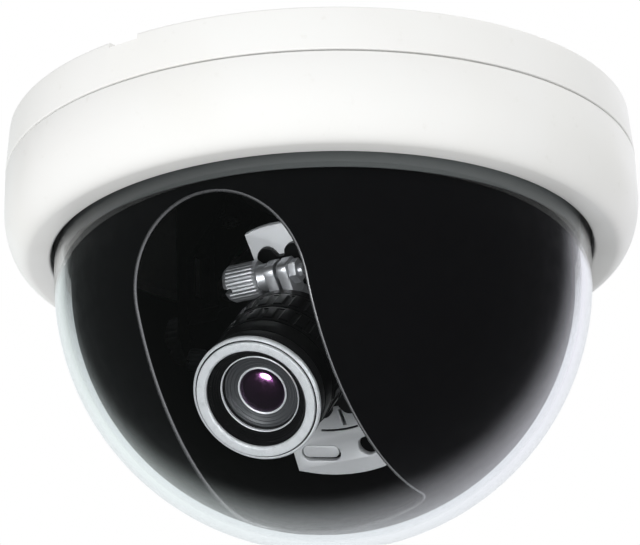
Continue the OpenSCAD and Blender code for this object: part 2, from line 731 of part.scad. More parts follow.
module inner_liner() color(black) panned() {
  for (s = [-1, 1]) translate([s * (drive_w / 2 + key_gap + 0.6), 0, 0])
    translate([-0.6, drive_y[2], -30]) cube([1.2, liner_r - liner_wall - drive_y[2] + 0.2, liner_top + 30]);
  difference() {
    rotate_extrude() difference() {
      union() {
        translate([0, dome_z]) circle(r = liner_r);
        translate([0, dome_z]) square([liner_r, liner_top - dome_z]);
        translate([0, liner_top - 1.2]) square([liner_flange_r, 1.2]);
      }
      translate([0, dome_z]) circle(r = liner_r - liner_wall);
      translate([0, dome_z]) square([liner_r - liner_wall, 30]);
      translate([-2 * dome_r, dome_z - 2 * dome_r]) square([2 * dome_r, 4 * dome_r]);
      translate([0, liner_top]) square([2 * dome_r, 60]);
    }
    translate([0, 0, -200]) linear_extrude(200 + slot_end_z) slot_outline();
    translate([0, 0, slot_end_z]) rotate([90, 0, 0]) cylinder(r = slot_w / 2, h = 80);
  }
}

mounting_base();
cover_clips();
power_board();
board_screws();
terminal_block();
terminal_screws();
harness_socket();
filter_capacitors();
pan_retaining_plate();
retaining_screws();
pan_turntable();
pan_lock_screw();
yoke_arm_left();
yoke_arm_right();
yoke_screws();
tilt_cradle();
tilt_washers();
tilt_screw_left();
tilt_screw_right();
cradle_bracket();
flange_ring();
flange_screws();
roll_clamp();
clamp_nut();
roll_screw();
sensor_housing();
rear_cap();
rear_cap_screws();
processor_board();
module_socket();
board_spacers();
sensor_board();
sensor_board_screws();
image_sensor();
optical_filter();
lens_tube();
rear_lens();
zoom_ring();
zoom_lock_screw();
focus_ring();
focus_lock_screw();
lens_head();
front_cell();
lens_retainer();
front_glass();
front_ring();
cover_shell();
dome_gasket();
dome_bubble();
dome_clamp_ring();
dome_clamp_screws();
inner_liner();
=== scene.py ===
"""Looks of an indoor dome camera: a white base and cover, a clear bubble, a black liner with a
viewing slot, and a varifocal camera on its gimbal. Lengths are millimetres in the lists below and
metres in Blender."""

import json
from math import asin, cos, degrees, pi, radians, sin, sqrt

import bmesh
import bpy
from mathutils import Matrix, Vector


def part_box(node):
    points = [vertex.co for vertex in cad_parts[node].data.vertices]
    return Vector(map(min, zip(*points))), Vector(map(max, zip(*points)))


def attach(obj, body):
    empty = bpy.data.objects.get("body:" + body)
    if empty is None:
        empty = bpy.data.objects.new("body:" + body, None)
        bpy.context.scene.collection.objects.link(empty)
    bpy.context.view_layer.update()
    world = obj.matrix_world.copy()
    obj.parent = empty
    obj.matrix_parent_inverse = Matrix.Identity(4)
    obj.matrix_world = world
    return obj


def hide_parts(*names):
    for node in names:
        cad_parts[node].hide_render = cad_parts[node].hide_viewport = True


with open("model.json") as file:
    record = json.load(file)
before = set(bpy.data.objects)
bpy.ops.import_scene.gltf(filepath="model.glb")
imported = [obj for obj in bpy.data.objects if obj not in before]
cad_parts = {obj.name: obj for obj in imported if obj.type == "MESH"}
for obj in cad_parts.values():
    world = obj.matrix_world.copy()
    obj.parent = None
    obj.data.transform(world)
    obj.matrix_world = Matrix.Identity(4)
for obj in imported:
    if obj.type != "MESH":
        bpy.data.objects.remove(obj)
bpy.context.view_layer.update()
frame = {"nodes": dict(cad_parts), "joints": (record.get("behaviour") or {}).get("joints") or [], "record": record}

MM = 0.001
JOINTS = {joint["name"]: joint for joint in frame["joints"]}
BODY_OF = {node: body for body, nodes in frame["record"]["behaviour"]["bodies"].items() for node in nodes}


def low(node):
    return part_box(node)[0] / MM


def high(node):
    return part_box(node)[1] / MM


def reach(node, matrix):
    """Largest radius about +Z, lowest z and highest z of a node in a frame, in millimetres."""
    back = matrix.inverted()
    points = [back @ v.co / MM for v in frame["nodes"][node].data.vertices]
    heights = [p.z for p in points]
    return max(p.xy.length for p in points), min(heights), max(heights)


# ---- frames ------------------------------------------------------------------------------------

def frame_matrix(x_axis, z_axis, origin):
    """Matrix, in metres, of a frame with these axes and origin."""
    x, z = Vector(x_axis).normalized(), Vector(z_axis).normalized()
    y = z.cross(x)
    turn = Matrix((x, y, z)).transposed().to_4x4()
    return Matrix.Translation(Vector(origin)) @ turn


tilt_axis = Vector(JOINTS["tilt"]["axis"])
tilt_at = Vector(JOINTS["tilt"]["pos_m"])
lens_axis = Vector(JOINTS["roll"]["axis"])
# +Z out through the lens and +X along the tilt axis
LENS = frame_matrix(tilt_axis, lens_axis, tilt_at)
# -Y ahead of the lens and +Z towards the ceiling
PAN = frame_matrix(tilt_axis, (0, 0, 1), (0, 0, 0))
HOME = Matrix.Identity(4)


# ---- camera, light and floor -------------------------------------------------------------------

VIEW_RISE = radians(22.28)      # the camera looks up at the object by this much
VIEW_DISTANCE = 2.516
VIEW_ROLL = radians(-1.61)
AIM = Vector((-0.0006, 0, -0.0306))
FOCAL_LENGTH = 729              # mm, on a 36 mm sensor
to_camera = Vector((0, -cos(VIEW_RISE), -sin(VIEW_RISE)))

AMBIENT = 0.56                  # the backdrop's strength on matt surfaces
MIRROR_LEAN = Vector((0.11, 0, -0.40))      # the mirrored white reaches further to the right and below
MIRROR_FADE = (0.55, 0.83)      # where it starts and is full
MIRROR_LEAST = 0.05
CAST_LEFT = (0.92, 1.0, 0.98, 1)            # faint sea green
CAST_RIGHT = (0.94, 0.93, 1.0, 1)           # faint violet


def make_camera():
    data = bpy.data.cameras.new("camera")
    data.lens = FOCAL_LENGTH
    data.sensor_width = 36
    data.clip_start, data.clip_end = 0.1, 200
    camera = bpy.data.objects.new("camera", data)
    bpy.context.scene.collection.objects.link(camera)
    right = Vector((0, 0, 1)).cross(to_camera).normalized()
    up = to_camera.cross(right)
    x = right * cos(VIEW_ROLL) + up * sin(VIEW_ROLL)
    y = up * cos(VIEW_ROLL) - right * sin(VIEW_ROLL)
    turn = Matrix((x, y, to_camera)).transposed().to_4x4()
    spot = to_camera * VIEW_DISTANCE
    aimed = (spot - AIM).normalized()
    lean = to_camera.rotation_difference(aimed).to_matrix().to_4x4()
    camera.matrix_world = Matrix.Translation(spot) @ lean @ turn
    bpy.context.scene.camera = camera


def make_world():
    """White backdrop. What the clear parts mirror fades from dark at the camera's side to white
    beyond the object."""
    world = bpy.data.worlds.new("studio")
    world.use_nodes = True
    bpy.context.scene.world = world
    tree = world.node_tree
    tree.nodes.clear()
    new, link = tree.nodes.new, tree.links.new
    coords = new("ShaderNodeTexCoord")
    dot = new("ShaderNodeVectorMath")
    dot.operation = "DOT_PRODUCT"
    dot.inputs[1].default_value = MIRROR_LEAN - to_camera
    link(coords.outputs["Generated"], dot.inputs[0])
    fade = new("ShaderNodeMapRange")
    fade.interpolation_type = "SMOOTHSTEP"
    for key, value in zip(("From Min", "From Max", "To Min"), (*MIRROR_FADE, MIRROR_LEAST)):
        fade.inputs[key].default_value = value
    link(dot.outputs["Value"], fade.inputs["Value"])
    path = new("ShaderNodeLightPath")
    mirrored = new("ShaderNodeMath")
    mirrored.operation = "MAXIMUM"
    link(path.outputs["Is Glossy Ray"], mirrored.inputs[0])
    link(path.outputs["Is Transmission Ray"], mirrored.inputs[1])
    lit = new("ShaderNodeMix")
    lit.inputs["A"].default_value = AMBIENT
    link(mirrored.outputs[0], lit.inputs["Factor"])
    link(fade.outputs["Result"], lit.inputs["B"])
    seen = new("ShaderNodeMix")
    seen.inputs["B"].default_value = 1.0
    link(path.outputs["Is Camera Ray"], seen.inputs["Factor"])
    link(lit.outputs["Result"], seen.inputs["A"])
    background = new("ShaderNodeBackground")
    link(seen.outputs["Result"], background.inputs["Strength"])
    out = new("ShaderNodeOutputWorld")
    link(background.outputs[0], out.inputs["Surface"])
    # a faint cast in what the clear bubble mirrors
    split = new("ShaderNodeSeparateXYZ")
    link(coords.outputs["Generated"], split.inputs[0])
    side = new("ShaderNodeMapRange")
    for key, value in (("From Min", -0.5), ("From Max", 0.5)):
        side.inputs[key].default_value = value
    link(split.outputs["X"], side.inputs["Value"])
    cast = new("ShaderNodeMix")
    cast.data_type = "RGBA"
    cast.inputs["A"].default_value = CAST_LEFT
    cast.inputs["B"].default_value = CAST_RIGHT
    link(side.outputs["Result"], cast.inputs["Factor"])
    hue = new("ShaderNodeMix")
    hue.data_type = "RGBA"
    hue.inputs["A"].default_value = (1, 1, 1, 1)
    link(mirrored.outputs[0], hue.inputs["Factor"])
    link(cast.outputs["Result"], hue.inputs["B"])
    link(hue.outputs["Result"], background.inputs["Color"])


def sun(name, direction, strength, softness, parts=None, blockers=(), colour=(1, 1, 1)):
    """A distant soft light that comes from direction, softness degrees across. With parts it lights
    and glints on them alone, and only the blockers shade them."""
    data = bpy.data.lights.new(name, "SUN")
    data.energy = strength
    data.color = colour
    data.angle = radians(softness)
    light = bpy.data.objects.new(name, data)
    bpy.context.scene.collection.objects.link(light)
    light.rotation_mode = "QUATERNION"
    light.rotation_quaternion = Vector(direction).to_track_quat("Z", "Y")
    light.visible_glossy = parts is not None
    light.visible_transmission = parts is not None
    if parts:
        light.light_linking.receiver_collection = bpy.data.collections.new(name)
        for part in parts:
            light.light_linking.receiver_collection.objects.link(part)
    if blockers:
        light.light_linking.blocker_collection = bpy.data.collections.new(name + "_blockers")
        for part in blockers:
            light.light_linking.blocker_collection.objects.link(part)


def light_the_outside():
    sun("key", (-0.38, -0.85, 0.22), 0.75, 30)
    sun("fill", (-0.72, -0.38, -0.65), 1.25, 40)
    sun("side", (0.8, -0.6, 0.1), 0.95, 40)
    sun("top", (0.3, 0.55, 0.8), 1.5, 30)


def light_the_inside():
    """Lamps for the bright parts behind the liner's slot, which the outer shells must not mirror."""
    parts = {thing.name: thing for thing in bpy.context.scene.objects if thing.type == "MESH"}
    bright = [parts[name] for name in (
        "front_ring_face", "front_ring_skirt", "lens_retaining_ring", "front_lens_cell", "lens_cell_rim",
        "cradle_strap", "strap_slot_tongue", "roll_clamp_collar", "roll_thumbscrew", "clamp_hex_nut")]
    blockers = bright + [parts[name] for name in ("zoom_grip_ring", "focus_grip_ring", "lens_hood")]
    glass = [parts["front_lens_element"]]
    key = (-0.42, -0.80, -0.42)
    sun("lens_key", key, 3.1, 24, bright, blockers)
    sun("lens_side", (0.75, -0.62, -0.2), 1.6, 30, bright, blockers)
    sun("lens_glint", (-0.50, -0.59, -0.63), 14, 15, glass, glass, (1.0, 0.78, 0.9))
    sun("slot_glint", (0.75, -0.75, -0.1), 14, 16, [parts["liner_slot_edge"]], glass)
    sun("skirt_fill", (0.2, -0.85, -0.45), 1.1, 50, [parts["bubble_skirt_band"]], glass)
    dim = ("zoom_grip_ring", "focus_grip_ring", "lens_hood", "zoom_lever", "focus_lever", "tilt_thumbscrew_left")
    sun("lens_fill", key, 0.08, 40, [parts[name] for name in dim])


def make_floor():
    reach_out, level = 60, -1.6
    corners = [(x * reach_out, y * reach_out, level) for x, y in ((-1, -1), (1, -1), (1, 1), (-1, 1))]
    mesh = bpy.data.meshes.new("floor")
    mesh.from_pydata(corners, [], [(0, 1, 2, 3)])
    floor = bpy.data.objects.new("floor", mesh)
    bpy.context.scene.collection.objects.link(floor)
    mesh.materials.append(MATERIAL["floor"])
    floor.visible_glossy = False
    floor.visible_diffuse = False
    floor.visible_transmission = False
    floor.visible_shadow = False        # the lamps below it still reach the camera


# ---- materials ---------------------------------------------------------------------------------

MATERIAL = {}


class Look:
    """A Principled material and the few nodes that its detail needs. Scales are per metre."""

    def __init__(self, name, colour, roughness, **settings):
        self.material = bpy.data.materials.new(name)
        self.material.use_nodes = True
        self.tree = self.material.node_tree
        self.shader = self.tree.nodes["Principled BSDF"]
        self.shader.inputs["Base Color"].default_value = (*colour, 1)
        self.shader.inputs["Roughness"].default_value = roughness
        for key, value in settings.items():
            self.shader.inputs[key.replace("_", " ")].default_value = value
        self.colour, self.roughness = colour, roughness
        self.coords = self.node("ShaderNodeTexCoord").outputs["Object"]
        MATERIAL[name] = self.material

    def node(self, kind, **fields):
        made = self.tree.nodes.new(kind)
        for key, value in fields.items():
            setattr(made, key, value)
        return made

    def link(self, a, b):
        self.tree.links.new(a, b)

    def noise(self, scale, detail=3.0, stretch=(1, 1, 1)):
        source = self.coords
        if stretch != (1, 1, 1):
            mapping = self.node("ShaderNodeMapping")
            mapping.inputs["Scale"].default_value = stretch
            self.link(source, mapping.inputs["Vector"])
            source = mapping.outputs["Vector"]
        texture = self.node("ShaderNodeTexNoise")
        texture.inputs["Scale"].default_value = scale
        texture.inputs["Detail"].default_value = detail
        self.link(source, texture.inputs["Vector"])
        return texture.outputs["Fac"]

    def rings(self, scale, axis="Z", distortion=0.0):
        texture = self.node("ShaderNodeTexWave", wave_type="RINGS", rings_direction=axis)
        texture.inputs["Scale"].default_value = scale
        texture.inputs["Distortion"].default_value = distortion
        self.link(self.coords, texture.inputs["Vector"])
        return texture.outputs["Fac"]

    def cells(self, scale):
        texture = self.node("ShaderNodeTexVoronoi")
        texture.inputs["Scale"].default_value = scale
        self.link(self.coords, texture.inputs["Vector"])
        return texture.outputs["Distance"]

    def spread(self, value, low_in, high_in, low_out, high_out):
        scaled = self.node("ShaderNodeMapRange")
        keys = ("From Min", "From Max", "To Min", "To Max")
        for key, number in zip(keys, (low_in, high_in, low_out, high_out)):
            scaled.inputs[key].default_value = number
        self.link(value, scaled.inputs["Value"])
        return scaled.outputs["Result"]

    def tint(self, value, other, start=0.35, end=0.75):
        """Blends the base colour towards other where value is high. Calls stack."""
        mix = self.node("ShaderNodeMix", data_type="RGBA")
        socket = self.shader.inputs["Base Color"]
        if socket.is_linked:
            self.link(socket.links[0].from_socket, mix.inputs["A"])
        else:
            mix.inputs["A"].default_value = socket.default_value[:]
        mix.inputs["B"].default_value = (*other, 1)
        self.link(self.spread(value, start, end, 0, 1), mix.inputs["Factor"])
        self.link(mix.outputs["Result"], socket)
        return self

    def rough(self, value, least, most, start=0.3, end=0.7):
        self.link(self.spread(value, start, end, least, most), self.shader.inputs["Roughness"])
        return self

    def bump(self, value, depth, strength=1.0):
        """Adds relief of depth millimetres. Calls stack."""
        made = self.node("ShaderNodeBump")
        made.inputs["Distance"].default_value = depth * MM
        made.inputs["Strength"].default_value = strength
        socket = self.shader.inputs["Normal"]
        if socket.is_linked:
            self.link(socket.links[0].from_socket, made.inputs["Normal"])
        self.link(value, made.inputs["Height"])
        self.link(made.outputs["Normal"], socket)
        return self

    def worn(self, other, radius=0.4, start=0.02, end=0.25):
        """Lets edges show other, as handling and moulding leave them."""
        bevel = self.node("ShaderNodeBevel")
        bevel.samples = 4
        bevel.inputs["Radius"].default_value = radius * MM
        geometry = self.node("ShaderNodeNewGeometry")
        dot = self.node("ShaderNodeVectorMath", operation="DOT_PRODUCT")
        self.link(bevel.outputs["Normal"], dot.inputs[0])
        self.link(geometry.outputs["Normal"], dot.inputs[1])
        edge = self.spread(dot.outputs["Value"], 1 - start, 1 - end, 0, 1)
        patchy = self.node("ShaderNodeMath", operation="MULTIPLY")
        self.link(edge, patchy.inputs[0])
        self.link(self.spread(self.noise(900), 0.4, 0.65, 0, 1), patchy.inputs[1])
        return self.tint(patchy.outputs[0], other, 0.1, 0.9)


def let_lamps_through(look, tint):
    """Shadow rays pass this clear plastic, so the parts inside it are lit."""
    clear = look.node("ShaderNodeBsdfTransparent")
    clear.inputs["Color"].default_value = (*tint, 1)
    path = look.node("ShaderNodeLightPath")
    mix = look.node("ShaderNodeMixShader")
    look.link(path.outputs["Is Shadow Ray"], mix.inputs["Fac"])
    look.link(look.shader.outputs[0], mix.inputs[1])
    look.link(clear.outputs[0], mix.inputs[2])
    look.link(mix.outputs[0], look.tree.nodes["Material Output"].inputs["Surface"])


def make_materials():
    white = Look("white_shell", (0.92, 0.92, 0.905), 0.34, IOR=1.5)
    white.tint(white.noise(38, 2), (0.90, 0.895, 0.87), 0.45, 0.8)
    white.tint(white.noise(420, 4), (0.86, 0.855, 0.83), 0.66, 0.8)
    white.rough(white.noise(160, 4), 0.30, 0.42)
    white.bump(white.cells(2600), 0.012, 0.5).bump(white.noise(90, 2), 0.03, 0.25)

    Look("skirt_grey", (0.20, 0.215, 0.215), 0.5, Specular_IOR_Level=0.2)
    dome = Look("clear_dome", (0.93, 0.95, 0.96), 0.0, IOR=1.49, Transmission_Weight=1.0)
    let_lamps_through(dome, (0.9, 0.91, 0.92))

    liner = Look("black_liner", (0.005, 0.005, 0.0055), 0.5, Specular_IOR_Level=0.1)
    liner.tint(liner.noise(320, 4), (0.006, 0.006, 0.0065), 0.5, 0.75)
    liner.rough(liner.noise(240, 4), 0.45, 0.6)
    liner.bump(liner.cells(3200), 0.015, 0.6)

    plastic = Look("black_plastic", (0.007, 0.007, 0.0075), 0.45, Specular_IOR_Level=0.25)
    plastic.tint(plastic.noise(300, 4), (0.012, 0.012, 0.0125), 0.5, 0.8)
    plastic.rough(plastic.noise(200, 4), 0.38, 0.56)
    plastic.bump(plastic.cells(3000), 0.02, 0.6).worn((0.06, 0.06, 0.062))

    bracket = Look("bracket_grey", (0.50, 0.51, 0.525), 0.42, Metallic=0.15)
    bracket.tint(bracket.noise(260, 4), (0.52, 0.53, 0.55), 0.5, 0.8)
    bracket.rough(bracket.noise(340, 4), 0.34, 0.5)
    bracket.bump(bracket.cells(3600), 0.012, 0.5).worn((0.78, 0.79, 0.8))

    clamp = Look("clamp_metal", (0.48, 0.49, 0.51), 0.4, Metallic=0.9)
    clamp.rough(clamp.noise(700, 3, (1, 1, 6)), 0.34, 0.5)
    clamp.tint(clamp.noise(260, 3), (0.5, 0.51, 0.53), 0.5, 0.8)
    clamp.bump(clamp.noise(1600, 2, (1, 1, 8)), 0.006, 0.6)

    steel = Look("screw_steel", (0.68, 0.68, 0.69), 0.26, Metallic=1.0)
    steel.rough(steel.noise(900, 3), 0.2, 0.38)
    steel.tint(steel.noise(500, 3), (0.52, 0.52, 0.54), 0.5, 0.8)
    steel.bump(steel.noise(2400, 2), 0.006, 0.5)

    dark = Look("dark_screws", (0.05, 0.052, 0.056), 0.36, Metallic=0.85)
    dark.rough(dark.noise(900, 3), 0.28, 0.48)
    dark.bump(dark.noise(2400, 2), 0.006, 0.5).worn((0.35, 0.35, 0.36), 0.25)

    lens = Look("lens_black", (0.006, 0.006, 0.0065), 0.4, Specular_IOR_Level=0.25)
    lens.rough(lens.noise(500, 3), 0.32, 0.46)
    lens.bump(lens.rings(1400, "Z", 0.4), 0.006, 0.5).worn((0.11, 0.11, 0.115), 0.25)

    silver = Look("lens_silver", (0.70, 0.72, 0.74), 0.45, Metallic=0.4)
    silver.rough(silver.rings(900, "Z", 1.5), 0.4, 0.52)
    silver.tint(silver.noise(900, 4), (0.58, 0.60, 0.62), 0.5, 0.8)
    silver.bump(silver.rings(1500, "Z", 0.3), 0.008, 0.55).worn((0.86, 0.87, 0.88), 0.3)

    cell = Look("lens_cell", (0.055, 0.058, 0.062), 0.4, Metallic=0.4)
    cell.rough(cell.rings(900, "Z", 1.0), 0.3, 0.45)
    cell.tint(cell.noise(500, 3), (0.055, 0.056, 0.06), 0.5, 0.8)
    cell.bump(cell.rings(1600, "Z", 0.3), 0.008, 0.6)

    glass = Look("lens_glass", (0.9, 0.9, 0.96), 0.08, IOR=1.6, Transmission_Weight=1.0)
    glass.shader.inputs["Specular Tint"].default_value = (0.95, 0.6, 0.9, 1)
    let_lamps_through(glass, (0.85, 0.85, 0.9))

    coated = Look("coated_glass", (0.0012, 0.0010, 0.0013), 0.07, IOR=1.75)
    coated.shader.inputs["Specular Tint"].default_value = (0.9, 0.45, 1.0, 1)
    coated.rough(coated.noise(2000, 2), 0.08, 0.13)

    edge = Look("liner_edge", (0.05, 0.05, 0.052), 0.28, IOR=1.5)
    edge.rough(edge.noise(300, 3), 0.22, 0.34)

    gasket = Look("gasket_rubber", (0.012, 0.012, 0.012), 0.7)
    gasket.rough(gasket.noise(500, 3), 0.6, 0.8)
    gasket.bump(gasket.noise(1800, 3), 0.02, 0.6)

    board = Look("board_green", (0.012, 0.085, 0.04), 0.32, Coat_Weight=0.4, Coat_Roughness=0.15)
    board.tint(board.cells(700), (0.02, 0.15, 0.07), 0.25, 0.3)
    board.tint(board.noise(600, 4), (0.008, 0.06, 0.03), 0.5, 0.8)
    board.bump(board.cells(700), 0.03, 0.4)

    terminal = Look("terminal_green", (0.02, 0.17, 0.06), 0.45)
    terminal.tint(terminal.noise(400, 3), (0.03, 0.22, 0.08), 0.5, 0.8)
    terminal.bump(terminal.cells(2600), 0.02, 0.5)

    socket = Look("socket_ivory", (0.78, 0.75, 0.64), 0.5)
    socket.tint(socket.noise(400, 3), (0.7, 0.66, 0.54), 0.5, 0.8)
    socket.bump(socket.cells(2600), 0.015, 0.5)

    sleeve = Look("capacitor_sleeve", (0.025, 0.028, 0.036), 0.3)
    sleeve.rough(sleeve.noise(700, 3), 0.24, 0.4)
    sleeve.bump(sleeve.noise(900, 3), 0.01, 0.5)

    ceramic = Look("sensor_ceramic", (0.05, 0.055, 0.07), 0.2)
    ceramic.rough(ceramic.noise(900, 3), 0.14, 0.3)
    ceramic.bump(ceramic.noise(2000, 2), 0.004, 0.5)

    brass = Look("spacer_brass", (0.72, 0.5, 0.2), 0.3, Metallic=1.0)
    brass.rough(brass.noise(900, 3), 0.22, 0.4)
    brass.tint(brass.noise(600, 3), (0.5, 0.33, 0.12), 0.5, 0.8)

    Look("floor", (0.86, 0.86, 0.855), 0.9)


# ---- mesh code ---------------------------------------------------------------------------------

def fillet(points, steps=5):
    """Closed outline of (x, y, radius) corners, with each corner rounded to its radius."""
    outline = []
    for i, corner in enumerate(points):
        here = Vector(corner[:2])
        radius = corner[2] if len(corner) > 2 else 0
        a = Vector(points[i - 1][:2]) - here
        b = Vector(points[(i + 1) % len(points)][:2]) - here
        if radius <= 0:
            outline.append(here)
            continue
        half = a.angle(b) / 2
        run = min(radius / max(abs(sin(half) / cos(half)), 1e-6), a.length * 0.49, b.length * 0.49)
        start, end = here + a.normalized() * run, here + b.normalized() * run
        for k in range(steps + 1):
            t = k / steps
            outline.append(start.lerp(here, t).lerp(here.lerp(end, t), t))
    return [tuple(p) for p in outline]


def arc(centre, radius, start, end, steps):
    """Points on an arc, with its angles in degrees."""
    angles = [radians(start + (end - start) * k / steps) for k in range(steps + 1)]
    return [(centre[0] + radius * cos(a), centre[1] + radius * sin(a)) for a in angles]


def ellipse(x, z, a, b, start, end, steps):
    """Points on an ellipse round (x, z), with its angles in degrees."""
    angles = [radians(start + (end - start) * k / steps) for k in range(steps + 1)]
    return [(x + a * cos(t), z + b * sin(t)) for t in angles]


def hole(x, y, r, steps=28):
    return arc((x, y), r, 0, 360, steps)[:-1]


def obround(x, y, width, length, turn=0):
    """Closed outline of a round-ended slot, turned by turn degrees."""
    half = (length - width) / 2
    points = arc((half, 0), width / 2, -90, 90, 10) + arc((-half, 0), width / 2, 90, 270, 10)
    c, s = cos(radians(turn)), sin(radians(turn))
    return [(x + c * px - s * py, y + s * px + c * py) for px, py in points]


def lathe(outline, segments=192, groove=None):
    """Turns a closed (radius, z) outline about Z. groove(angle, r, z) is how far a point is drawn in."""
    bm = bmesh.new()
    rows = []
    for r, z in (p[:2] for p in outline):
        if r < 1e-6:
            rows.append([bm.verts.new((0, 0, z * MM))] * segments)
            continue
        row = []
        for k in range(segments):
            angle = 2 * pi * k / segments
            rr = r - (groove(angle, r, z) if groove else 0)
            row.append(bm.verts.new((rr * MM * cos(angle), rr * MM * sin(angle), z * MM)))
        rows.append(row)
    for i, row in enumerate(rows):
        after = rows[(i + 1) % len(rows)]
        if row[0] is row[-1] and after[0] is after[-1]:
            continue
        for k in range(segments):
            n = (k + 1) % segments
            corners = [row[k], row[n], after[n], after[k]]
            bm.faces.new([v for j, v in enumerate(corners) if v is not corners[j - 1]])
    return bm


def plate(outline, holes, z_low, z_high, edge=0.15):
    """Flat plate with holes, its rims rounded by edge. Outlines are closed lists of (x, y)."""
    curve = bpy.data.curves.new("plate", "CURVE")
    curve.dimensions = "2D"
    curve.fill_mode = "BOTH"
    curve.extrude = ((z_high - z_low) / 2 - edge) * MM
    curve.bevel_depth = edge * MM
    curve.bevel_resolution = 1
    curve.offset = -edge * MM
    for points in [outline, *holes]:
        spline = curve.splines.new("POLY")
        spline.points.add(len(points) - 1)
        for point, (x, y) in zip(spline.points, points):
            point.co = (x * MM, y * MM, 0, 1)
        spline.use_cyclic_u = True
    holder = bpy.data.objects.new("plate", curve)
    bpy.context.scene.collection.objects.link(holder)
    bm = solid_of(holder)
    bpy.data.objects.remove(holder)
    bmesh.ops.translate(bm, verts=bm.verts, vec=(0, 0, (z_low + z_high) / 2 * MM))
    return bm


def fill_prism(points, z_low, z_high):
    """Straight prism on a closed outline."""
    bm = bmesh.new()
    bottom = [bm.verts.new((x * MM, y * MM, z_low * MM)) for x, y in points]
    top = [bm.verts.new((x * MM, y * MM, z_high * MM)) for x, y in points]
    bm.faces.new(bottom[::-1])
    bm.faces.new(top)
    for k in range(len(points)):
        n = (k + 1) % len(points)
        bm.faces.new([bottom[k], bottom[n], top[n], top[k]])
    return bm


def solid_of(holder):
    """The evaluated mesh of an object as a bmesh."""
    graph = bpy.context.evaluated_depsgraph_get()
    shape = holder.evaluated_get(graph)
    mesh = shape.to_mesh()
    bm = bmesh.new()
    bm.from_mesh(mesh)
    shape.to_mesh_clear()
    bmesh.ops.remove_doubles(bm, verts=bm.verts, dist=1e-7)
    return bm


def as_object(bm, name="scratch"):
    mesh = bpy.data.meshes.new(name)
    bmesh.ops.remove_doubles(bm, verts=bm.verts, dist=1e-7)
    bmesh.ops.recalc_face_normals(bm, faces=bm.faces)
    bm.to_mesh(mesh)
    bm.free()
    made = bpy.data.objects.new(name, mesh)
    bpy.context.scene.collection.objects.link(made)
    return made


def carve(bm, *cutters):
    """The solid with the cutters taken out of it."""
    body = as_object(bm)
    tools = [as_object(c) for c in cutters]
    for tool in tools:
        cut = body.modifiers.new("cut", "BOOLEAN")
        cut.operation = "DIFFERENCE"
        cut.solver = "EXACT"
        cut.object = tool
    bm = solid_of(body)
    for scratch in [body, *tools]:
        bpy.data.objects.remove(scratch)
    return bm


def block(x, y, z):
    """Box between pairs of limits."""
    bm = bmesh.new()
    bmesh.ops.create_cube(bm, size=1)
    for v in bm.verts:
        v.co = Vector((v.co[i] * (b - a) + (a + b) / 2) * MM for i, (a, b) in enumerate((x, y, z)))
    return bm


def moved(bm, matrix):
    bmesh.ops.transform(bm, matrix=matrix, verts=bm.verts)
    return bm


def joined(*parts):
    """Several solids as one bmesh."""
    whole = bmesh.new()
    for part in parts:
        scratch = bpy.data.meshes.new("part")
        part.to_mesh(scratch)
        part.free()
        whole.from_mesh(scratch)
        bpy.data.meshes.remove(scratch)
    return whole


def at(x, y, z, turn=0, axis="Z"):
    return Matrix.Translation(Vector((x, y, z)) * MM) @ Matrix.Rotation(radians(turn), 4, axis)


def toward(axis, x, y, z):
    """Place matrix that sends +Z along axis, at a point in millimetres."""
    turn = Vector((0, 0, 1)).rotation_difference(Vector(axis)).to_matrix().to_4x4()
    return Matrix.Translation(Vector((x, y, z)) * MM) @ turn


def tube(path, outward, radius, steps=10):
    """Closed round bead along path, a list of points, with outward(point) across it."""
    bm = bmesh.new()
    rows = []
    count = len(path)
    for i, point in enumerate(path):
        ahead = (Vector(path[(i + 1) % count]) - Vector(path[i - 1])).normalized()
        out = Vector(outward(point))
        out = (out - ahead * out.dot(ahead)).normalized()
        side = ahead.cross(out)
        rows.append([
            bm.verts.new((Vector(point) + (out * cos(a) + side * sin(a)) * radius) * MM)
            for a in (2 * pi * k / steps for k in range(steps))
        ])
    for i, row in enumerate(rows):
        after = rows[(i + 1) % count]
        for k in range(steps):
            bm.faces.new([row[k], row[(k + 1) % steps], after[(k + 1) % steps], after[k]])
    return bm


def piece(name, bm, node, slot, matrix=HOME, material=None, stands_for=True, sharp=32):
    """A finished piece that rides on its node's body and stands for the node."""
    if matrix is PAN:
        bm, matrix = moved(bm, PAN), HOME
    made = as_object(bm, name)
    made.data.shade_smooth()
    made.data.set_sharp_from_angle(angle=radians(sharp))
    made.data.materials.append(MATERIAL[material or slot])
    made.matrix_world = matrix
    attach(made, BODY_OF[node])
    if stands_for:
        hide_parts(node)
    return made


# ---- cover, base and dome ----------------------------------------------------------------------

WALL = 2.4                  # cover's wall
CORNER = (4.8, 9.6)         # its rounded lower edge, across and down
LIP_R = 52.5                # its opening round the bubble
SEAM_R = 61.05              # where it meets the base
BUBBLE_R = 52
BUBBLE_WALL = 2.0
SKIRT_SHADE = 3.7           # the grey band inside the bubble starts this far above its centre
POSTS = ((-17, 32), (17, 32), (0, 45))      # under the power board
FIXING_X = 41.75            # the ceiling screws' slots, either side of the middle
CHANNEL_AT = -128           # direction of the cable channel in the ceiling face, in degrees


